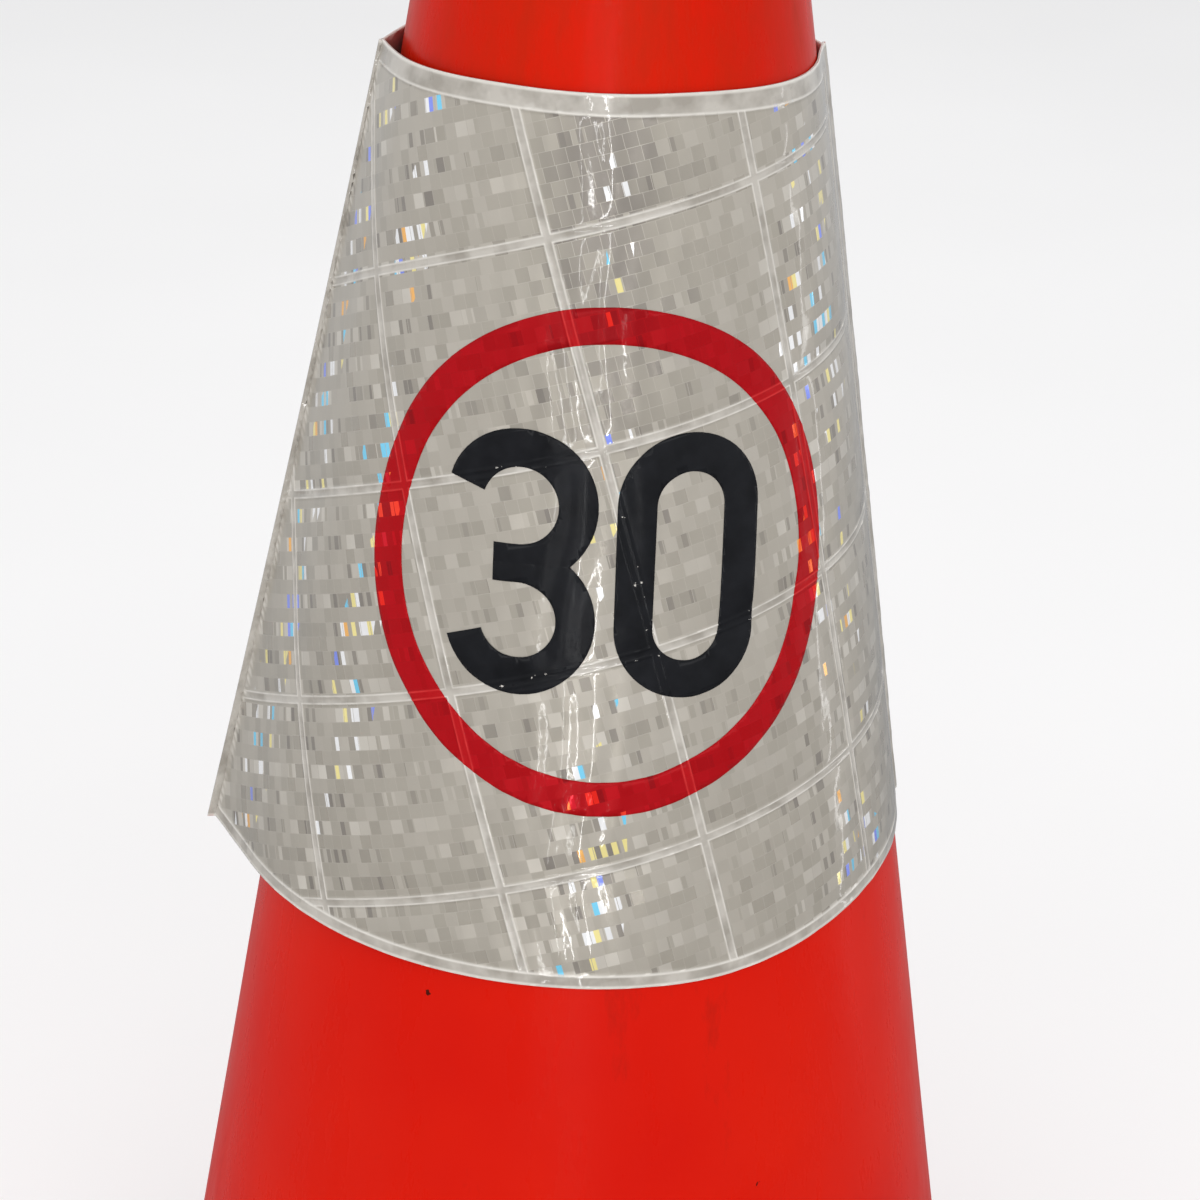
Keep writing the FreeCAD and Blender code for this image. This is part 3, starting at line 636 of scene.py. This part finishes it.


# tones of the microprism tiles, from the dullest to the brightest, of the welds and their beads, partly a
# painted highlight, and of the painted glints between them
clearTiles = {
    "tones": ("#8c857c", "#aca598", "#bcb5a9", "#d8d2c7"), "channel": ("#a39c91", "#c6c0b6"),
    "bead": "#ebe6dd", "gap": "#b9b2a6",
    "glints": ("#fff0a0", "#ffffff", "#7fdcff", "#8a9cff", "#ffbe68"),
    "metallic": 0.25, "coat": 1.0, "specular": 0.5,
}
redTiles = {
    "tones": ("#960510", "#ae0510", "#b60614", "#c60c1a"), "channel": ("#ae0812", "#ba0e16"),
    "bead": "#de3a3a", "gap": "#ae0a14",
    "glints": ("#ff5a2c", "#f02a20", "#ff4430", "#d81c2c", "#ff6a30"),
    "metallic": 0.15, "coat": 0.06, "specular": 0.1,
}
# tile sizes in millimetres; the prisms inside the tiles are too fine to draw
tile = {"wide": 3.75, "high": 4.1, "bar": 1.6, "gap": 0.16, "tilt": 0.11, "quietTilt": 0.025}


def prismFilm(name, look):
    # PVC film embossed with microprism tiles under a smooth clear face, welded in a grid: milky at the welds;
    # painted glints, painted shade on the upper front and a painted highlight on the beads are in its colour
    material, tree, shader = startMaterial(name)
    gridPlace = addNode(tree, "UVMap", uv_map="weldGrid").outputs[0]
    grid = addNode(tree, "SeparateXYZ", {0: gridPlace})
    rows = addNode(tree, "Math", {0: grid.outputs["Y"], 1: tile["high"]}, operation="DIVIDE")
    row = addNode(tree, "Math", {0: rows}, operation="FLOOR")
    rowPart = addNode(tree, "Math", {0: rows}, operation="FRACT")
    shift = addNode(tree, "TexWhiteNoise", {"W": row}, noise_dimensions="1D")
    columns = addNode(tree, "Math", {0: grid.outputs["X"], 1: 1 / tile["wide"], 2: shift.outputs["Value"]},
                      operation="MULTIPLY_ADD")
    column = addNode(tree, "Math", {0: columns}, operation="FLOOR")
    columnPart = addNode(tree, "Math", {0: columns}, operation="FRACT")
    cell = addNode(tree, "CombineXYZ", {0: column, 1: row})
    chance = addNode(tree, "TexWhiteNoise", {"Vector": cell}, noise_dimensions="2D")
    chances = addNode(tree, "SeparateColor", {0: chance.outputs["Color"]})
    lively = addNode(tree, "Math", {0: row, 1: 2.0}, operation="FLOORED_MODULO")  # every second row: only there are glints painted and the tiles livelier
    bars = addNode(tree, "Math", {0: grid.outputs["X"], 1: tile["bar"]}, operation="DIVIDE")
    bar = addNode(tree, "CombineXYZ", {0: addNode(tree, "Math", {0: bars}, operation="FLOOR"), 1: row})
    barChance = addNode(tree, "TexWhiteNoise", {"Vector": bar}, noise_dimensions="2D")
    barChances = addNode(tree, "SeparateColor", {0: barChance.outputs["Color"]})
    barDark = addNode(tree, "Math", {0: barChance.outputs["Value"], 1: 0.16}, operation="LESS_THAN")
    quiet = addNode(tree, "MapRange", {"Value": chance.outputs["Value"], "To Min": 0.4, "To Max": 0.62})
    brisk = addNode(tree, "MapRange", {"Value": chance.outputs["Value"], "To Min": 0.3, "To Max": 0.9})
    barTone = addNode(tree, "Math", {0: barDark, 1: -0.5, 2: brisk}, operation="MULTIPLY_ADD")
    # painted reflection: near the painted glint bands the tiles' contrast is raised
    lamp = addNode(tree, "Attribute", attribute_name="paintedGlintBand").outputs["Fac"]
    contrast = addNode(tree, "MapRange", {"Value": lamp, "From Max": 0.9, "To Min": 0.22})
    livelyShare = addNode(tree, "Math", {0: lively, 1: contrast}, operation="MULTIPLY")
    evenTone = addNode(tree, "Mix", {0: livelyShare, 2: quiet, 3: barTone})
    # painted shade: the tone is lowered on the upper front
    paintedShadeFac = addNode(tree, "Attribute", attribute_name="paintedDullShade").outputs["Fac"]
    tone = addNode(tree, "Math", {0: paintedShadeFac, 1: -0.5, 2: evenTone}, operation="MULTIPLY_ADD")
    tones = addNode(tree, "ValToRGB", {"Fac": tone})
    setRamp(tones, list(zip((0.05, 0.4, 0.65, 0.95), look["tones"])))

    # painted glints: bright tinted tiles in the lively rows of the bands, standing for reflections of the
    # lamps
    glintLimit = addNode(tree, "MapRange", {"Value": lamp, "From Min": 0.78, "To Min": 1, "To Max": 0.68})
    glint = addNode(tree, "Math", {0: barChances.outputs[1], 1: glintLimit}, operation="GREATER_THAN")
    glintRow = addNode(tree, "Math", {0: glint, 1: lively}, operation="MULTIPLY")
    hues = addNode(tree, "ValToRGB", {"Fac": barChances.outputs[2]})
    setRamp(hues, list(zip((0.0, 0.25, 0.62, 0.76, 0.88), look["glints"])), "CONSTANT")
    glinting = addNode(tree, "Mix", {0: glintRow, 6: tones, 7: hues}, data_type="RGBA")

    sideGap = addNode(tree, "Math", {0: columnPart, 1: tile["gap"] / tile["wide"]}, operation="LESS_THAN")
    rowGap = addNode(tree, "Math", {0: rowPart, 1: tile["gap"] / tile["high"]}, operation="LESS_THAN")
    gap = addNode(tree, "Math", {0: sideGap, 1: rowGap}, operation="MAXIMUM")
    gapped = addNode(tree, "Mix", {0: gap, 6: glinting.outputs[2], 7: linear(look["gap"])}, data_type="RGBA")
    welded = addNode(tree, "Attribute", attribute_name="welded").outputs["Fac"]
    milk = addNode(tree, "TexNoise", {"Vector": gridPlace, "Scale": 0.11, "Detail": 3})
    milky = addNode(tree, "ValToRGB", {"Fac": milk})
    setRamp(milky, list(zip((0.35, 0.6), look["channel"])))
    channelled = addNode(tree, "Mix", {0: welded, 6: gapped.outputs[2], 7: milky}, data_type="RGBA")
    # pale beads: partly the weld's milky PVC, partly a painted highlight along each raised bead and the cut
    # edge
    bead = addNode(tree, "Attribute", attribute_name="bead").outputs["Fac"]
    colour = addNode(tree, "Mix", {0: bead, 6: channelled.outputs[2], 7: linear(look["bead"])},
                     data_type="RGBA")
    tree.links.new(colour.outputs[2], shader.inputs["Base Color"])

    notWelded = addNode(tree, "Math", {0: 1.0, 1: welded}, operation="SUBTRACT")
    metallic = addNode(tree, "Math", {0: notWelded, 1: look["metallic"]}, operation="MULTIPLY")
    tree.links.new(metallic.outputs[0], shader.inputs["Metallic"])
    tileRough = addNode(tree, "MapRange", {"Value": chances.outputs[0], "To Min": 0.26, "To Max": 0.44})
    rough = addNode(tree, "Mix", {0: glintRow, 2: tileRough, 3: 0.1})
    tree.links.new(rough.outputs[0], shader.inputs["Roughness"])

    swing = addNode(tree, "MapRange", {"Value": lively, "To Min": tile["quietTilt"], "To Max": tile["tilt"]})
    centred = addNode(tree, "VectorMath", {0: chance.outputs["Color"], 1: (0.5, 0.5, 0.5)},
                      operation="SUBTRACT")
    leaning = addNode(tree, "VectorMath", {0: centred, "Scale": swing}, operation="SCALE")
    facing = addNode(tree, "VectorMath", {0: leaning, 1: (0.5, 0.5, 1.0)}, operation="ADD")
    tilted = addNode(tree, "NormalMap", {"Color": facing}, uv_map="weldGrid")
    tree.links.new(tilted.outputs[0], shader.inputs["Normal"])

    ripples = addNode(tree, "TexNoise", {"Vector": gridPlace, "Scale": 0.12, "Detail": 3})
    faceBump = addNode(tree, "Bump", {"Strength": 0.2, "Distance": 0.5 * mm, "Height": ripples})
    tree.links.new(faceBump.outputs[0], shader.inputs["Coat Normal"])
    shader.inputs["Coat Weight"].default_value = look["coat"]
    shader.inputs["Coat Roughness"].default_value = 0.06
    shader.inputs["Specular IOR Level"].default_value = look["specular"]
    return material


def backingPvc():
    # white PVC sheet with a fine calendered matt face, greyed by handling
    material, tree, shader = startMaterial("pvcBackingWhiteMatt")
    place = addNode(tree, "TexCoord").outputs["Object"]
    clouds = addNode(tree, "TexNoise", {"Vector": place, "Scale": 25, "Detail": 5})
    tint = addNode(tree, "ValToRGB", {"Fac": clouds})
    setRamp(tint, [(0.3, "#b4aea6"), (0.7, "#cfcac3")])
    tree.links.new(tint.outputs[0], shader.inputs["Base Color"])
    grain = addNode(tree, "TexNoise", {"Vector": place, "Scale": 1600, "Detail": 2})  # 0.6 mm grain
    bump = addNode(tree, "Bump", {"Strength": 0.3, "Distance": 0.05 * mm, "Height": grain})
    tree.links.new(bump.outputs[0], shader.inputs["Normal"])
    shader.inputs["Roughness"].default_value = 0.55
    return material


def blackInk():
    # black solvent ink on the PVC face: glossy, chipped to the pale film where the welds cross it
    material, tree, shader = startMaterial("inkBlackGloss")
    grid = addNode(tree, "UVMap", uv_map="weldGrid")
    welded = addNode(tree, "Attribute", attribute_name="welded").outputs["Fac"]
    chips = addNode(tree, "TexNoise", {"Vector": grid, "Scale": 0.4, "Detail": 4, "Roughness": 0.6})
    chipped = addNode(tree, "Math", {0: chips, 1: 0.66}, operation="GREATER_THAN")
    chip = addNode(tree, "Math", {0: chipped, 1: welded}, operation="MULTIPLY")
    clouds = addNode(tree, "TexNoise", {"Vector": grid, "Scale": 0.1, "Detail": 4})
    ink = addNode(tree, "ValToRGB", {"Fac": clouds})
    setRamp(ink, [(0.3, "#101114"), (0.7, "#1d1e22")])
    colour = addNode(tree, "Mix", {0: chip, 6: ink, 7: linear("#cfcbc4")}, data_type="RGBA")
    tree.links.new(colour.outputs[2], shader.inputs["Base Color"])
    bump = addNode(tree, "Bump", {"Strength": 0.15, "Distance": 0.4 * mm, "Height": clouds})
    tree.links.new(bump.outputs[0], shader.inputs["Normal"])
    rough = addNode(tree, "MapRange", {"Value": chips, "To Min": 0.12, "To Max": 0.3})
    tree.links.new(rough.outputs[0], shader.inputs["Roughness"])
    shader.inputs["Specular IOR Level"].default_value = 0.15
    return material


def makePanel(panel, side, prismMaterial, backingMaterial):
    backing = panelMesh(panel, False)
    bendOntoSleeve(backing, panel, 0, relief=False)
    inner = finishPiece(backing, side + "Backing", backingMaterial, "sleeve",
                        [side + "_backing_film"], sharpAbove=60)
    thicken(inner, sleeve["backingFilm"])
    prism = panelMesh(panel, True)
    bendOntoSleeve(prism, panel, sleeve["prismLift"] - sleeve["backingLift"])
    outer = finishPiece(prism, side + "Prism", prismMaterial, "sleeve",
                        [side + "_prism_film"], sharpAbove=60)
    thicken(outer, sleeve["prismFilm"])


# the printed ring and number, in metres on the flat film
printed = {
    "middle": (0.0037, 0.4877), "ringRadius": 0.0708, "ringBand": 0.0099,
    "ringStretch": (0.97, 1.026), "digitStretch": (1, 1.026),  # the film was printed a little out of square
    "height": 0.074, "zeroWidth": 0.0402, "stroke": 0.0106, "gap": 0.005, "threeBar": 0.007,
    "threeOpening": math.radians(162), "ringSteps": 144, "zeroSteps": 28, "threeSteps": 40,
}


def spinOn(bm, geom, centre, angle, steps):
    return bmesh.ops.spin(bm, geom=geom, cent=centre, axis=(0, 0, 1), angle=angle, steps=steps)["geom_last"]


def extrudeOn(bm, geom, vec):
    edges = [part for part in geom if isinstance(part, bmesh.types.BMEdge)]
    new = bmesh.ops.extrude_edge_only(bm, edges=edges)["geom"]
    bmesh.ops.translate(bm, verts=[part for part in new if isinstance(part, bmesh.types.BMVert)], vec=vec)
    return [part for part in new if not isinstance(part, bmesh.types.BMFace)]


def strokeStart(bm, start, end):
    verts = [bm.verts.new(start), bm.verts.new(end)]
    return verts + [bm.edges.new(verts)]


def ringShape():
    bm = bmesh.new()
    radius = printed["ringRadius"]
    stroke = strokeStart(bm, (radius - printed["ringBand"], 0, 0), (radius, 0, 0))
    spinOn(bm, stroke, (0, 0, 0), 2 * math.pi, printed["ringSteps"])
    return bm


def zeroShape():
    bm = bmesh.new()
    outer = printed["zeroWidth"] / 2
    rise = printed["height"] / 2 - outer
    end = strokeStart(bm, (outer - printed["stroke"], rise, 0), (outer, rise, 0))
    end = spinOn(bm, end, (0, rise, 0), math.pi, printed["zeroSteps"])
    end = extrudeOn(bm, end, (0, -2 * rise, 0))
    end = spinOn(bm, end, (0, -rise, 0), math.pi, printed["zeroSteps"])
    extrudeOn(bm, end, (0, 2 * rise, 0))
    bmesh.ops.translate(bm, verts=bm.verts, vec=((printed["gap"] + printed["zeroWidth"]) / 2, 0, 0))
    return bm


def threeShape():
    # the upper bow and half of the middle bar, mirrored
    bm = bmesh.new()
    bow = (printed["height"] - printed["stroke"]) / 4
    half = printed["stroke"] / 2
    start = strokeStart(bm, (0, half, 0), (0, -half, 0))
    spinOn(bm, start, (0, bow, 0), printed["threeOpening"] + math.pi / 2, printed["threeSteps"])
    extrudeOn(bm, start, (-printed["threeBar"], 0, 0))
    trim(bm, 1, 0, 1)
    bmesh.ops.mirror(bm, geom=bm.verts[:] + bm.edges[:] + bm.faces[:], axis="Y", merge_dist=0.01 * mm)
    shift = -printed["gap"] / 2 - bow - half
    bmesh.ops.translate(bm, verts=bm.verts, vec=(shift, 0, 0))
    return bm


def makePrint(bm, name, node, material, stretch):
    bmesh.ops.remove_doubles(bm, verts=bm.verts, dist=0.01 * mm)
    bmesh.ops.scale(bm, verts=bm.verts, vec=(stretch[0], -stretch[1], 1))  # y runs down the slope there
    bmesh.ops.translate(bm, verts=bm.verts, vec=(printed["middle"][0], printed["middle"][1], 0))
    bmesh.ops.transform(bm, verts=bm.verts, matrix=latticeToFlat(weld["slant"]).inverted())
    for axis in (0, 1):
        step = weld["pitch"][axis] / weld["cells"][axis]
        low = min(v.co[axis] for v in bm.verts)
        high = max(v.co[axis] for v in bm.verts)
        cutLines(bm, axis, [k * step for k in range(math.ceil(low / step), math.floor(high / step) + 1)])
    cutWelds(bm)
    bmesh.ops.transform(bm, verts=bm.verts, matrix=latticeToFlat(weld["slant"]))
    toPolar(bm, frontPanel)
    bendOntoSleeve(bm, frontPanel, sleeve["prismLift"] - sleeve["backingLift"] + sleeve["printLift"])
    piece = finishPiece(bm, name, material, "sleeve", [node], sharpAbove=60)
    thicken(piece, sleeve["printFilm"])
    return piece


def makeSleeve():
    clear = prismFilm("pvcPrismaticFilmClear", clearTiles)
    backing = backingPvc()
    makePanel(frontPanel, "front", clear, backing)
    makePanel(backPanel, "back", clear, backing)
    redInk = prismFilm("inkRedTransparentOnPrism", redTiles)
    makePrint(ringShape(), "redRing", "red_ring_print", redInk, printed["ringStretch"])
    ink = blackInk()
    makePrint(threeShape(), "tensDigit", "tens_digit_print", ink, printed["digitStretch"])
    makePrint(zeroShape(), "unitsDigit", "units_digit_print", ink, printed["digitStretch"])


# studio: pale floor, even light, and upright strip lights that the film and the PVC reflect as thin lines
studio = {
    "floor": 40, "world": 0.76, "worldBelow": 0.34,
    "camera": (0, -0.83465, 0.80317), "turn": (-0.0034, -0.45068, -0.03635), "lens": 91.27,
    # place, size and power; all look at aim on the axis
    "softboxes": [((-1.0, -2.4, 1.9), 1.6, 13), ((1.0, -2.4, 1.9), 1.6, 12), ((0.2, 1.2, 3.0), 1.6, 26)],
    "aim": (0, 0, 0.35),
    # degrees round from the front, distance from the axis, width, height and power
    "strips": [(1, 1.05, 0.012, 0.75, 0.85), (-9, 1.05, 0.008, 0.75, 0.35), (100, 0.72, 0.02, 0.5, 0.1)],
    "stripFoot": 0.01,  # above the ground
}


def makeFloor():
    material, tree, shader = startMaterial("floorPaintedWhiteMatt")
    place = addNode(tree, "TexCoord").outputs["Object"]
    clouds = addNode(tree, "TexNoise", {"Vector": place, "Scale": 1.5, "Detail": 3})
    tint = addNode(tree, "ValToRGB", {"Fac": clouds})
    setRamp(tint, [(0.3, "#f5f4f3"), (0.7, "#f9f8f7")])
    tree.links.new(tint.outputs[0], shader.inputs["Base Color"])
    shader.inputs["Roughness"].default_value = 0.6
    bm = bmesh.new()
    bmesh.ops.create_grid(bm, x_segments=1, y_segments=1, size=studio["floor"] / 2)
    mesh = bpy.data.meshes.new("floor")
    bm.to_mesh(mesh)
    bm.free()
    mesh.materials.append(material)
    floor = bpy.data.objects.new("floor", mesh)
    scene.collection.objects.link(floor)
    floor.visible_glossy = False  # the gloss sees the duller ground of the world instead


def addArea(name, place, target, size, power):
    light = bpy.data.lights.new(name, "AREA")
    light.shape = "RECTANGLE"
    light.size, light.size_y = size
    light.energy = power
    lamp = bpy.data.objects.new(name, light)
    scene.collection.objects.link(lamp)
    lamp.location = place
    lamp.rotation_euler = (Vector(target) - Vector(place)).to_track_quat("-Z", "Y").to_euler()
    lamp.visible_camera = False
    return lamp


def makeStudio():
    makeFloor()
    world = bpy.data.worlds.new("paleStudio")
    world.use_nodes = True
    tree = world.node_tree
    facing = addNode(tree, "SeparateXYZ", {0: addNode(tree, "TexCoord").outputs["Generated"]})
    strength = addNode(tree, "MapRange", {"Value": facing.outputs["Z"], "From Min": -0.4, "From Max": -0.05,
                                          "To Min": studio["worldBelow"], "To Max": studio["world"]})
    tree.nodes["Background"].inputs["Color"].default_value = linear("#f7f8fa")
    tree.links.new(strength.outputs[0], tree.nodes["Background"].inputs["Strength"])
    scene.world = world
    for k, (place, size, power) in enumerate(studio["softboxes"]):
        addArea("softbox%d" % k, place, studio["aim"], (size, size), power)
    for k, (azimuth, far, wide, tall, power) in enumerate(studio["strips"]):
        turned = math.radians(azimuth)
        place = (far * math.sin(turned), -far * math.cos(turned), studio["stripFoot"] + tall / 2)
        addArea("strip%d" % k, place, (0, 0, place[2]), (wide, tall), power).visible_diffuse = False
    lens = bpy.data.cameras.new("camera")
    lens.lens = studio["lens"]
    lens.sensor_width = 36
    lens.clip_start = 0.01
    camera = bpy.data.objects.new("camera", lens)
    scene.collection.objects.link(camera)
    yaw, pitch, roll = studio["turn"]
    look = Matrix.Rotation(yaw, 4, "Z") @ Matrix.Rotation(pitch, 4, "X") @ Matrix.Rotation(roll, 4, "Y")
    camera.matrix_world = Matrix.Translation(studio["camera"]) @ look @ Matrix.Rotation(math.pi / 2, 4, "X")
    bpy.context.scene.camera = camera
    print("studio ready")


makeStudio()
makeCone()
makeBase()
makeSleeve()
